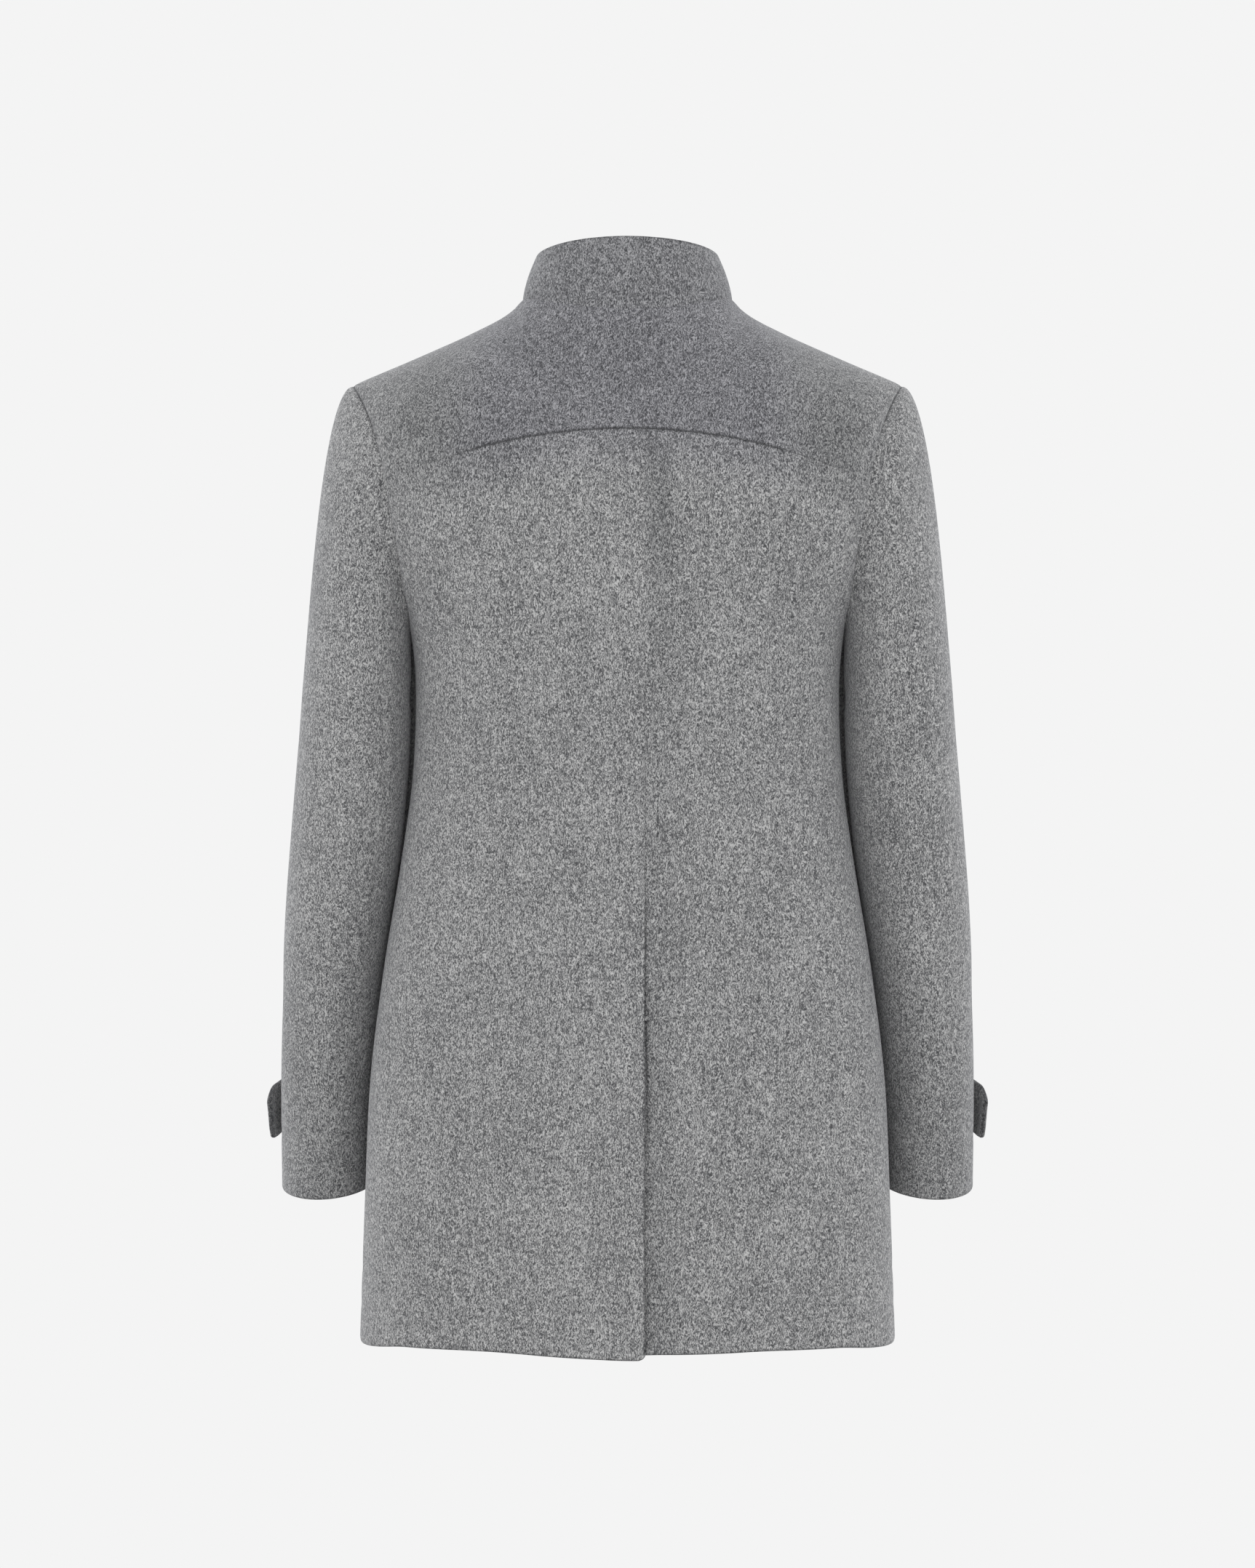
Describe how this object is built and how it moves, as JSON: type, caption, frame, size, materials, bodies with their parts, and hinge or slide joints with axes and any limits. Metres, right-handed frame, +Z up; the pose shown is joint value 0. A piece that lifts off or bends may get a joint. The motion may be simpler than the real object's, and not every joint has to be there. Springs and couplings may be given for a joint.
{
  "type": "wool coat",
  "caption": "Thigh-length wool coat with a stand collar, an arched back yoke, a lapped back vent and a buttoned tab on each cuff, hollow and filled out as if worn.",
  "frame": {"origin": "midway between the two neck points, at the level of the shoulders, where the coat hangs on its wearer", "axes": "+Z up the coat towards the collar, +X to the wearer's left, -Y to the front closing and +Y to the back"},
  "size_m": [0.5872, 0.2621, 0.8841],
  "materials": {
    "wool": "brushed grey melange wool, matt with a soft nap",
    "button": "dark horn-like resin with a soft gloss"
  },
  "bodies": {
    "root": {"back_yoke": "wool", "back_left": "wool", "back_right": "wool", "front_left": "wool", "front_right": "wool", "collar": "wool", "sleeve_left_upper": "wool", "sleeve_left_under": "wool", "sleeve_right_upper": "wool", "sleeve_right_under": "wool", "cuff_tab_left": "wool", "cuff_tab_right": "wool", "cuff_button_left": "button", "cuff_button_right": "button", "front_button_1": "button", "front_button_2": "button", "front_button_3": "button", "front_button_4": "button", "front_button_5": "button"}
  },
  "joints": []
}
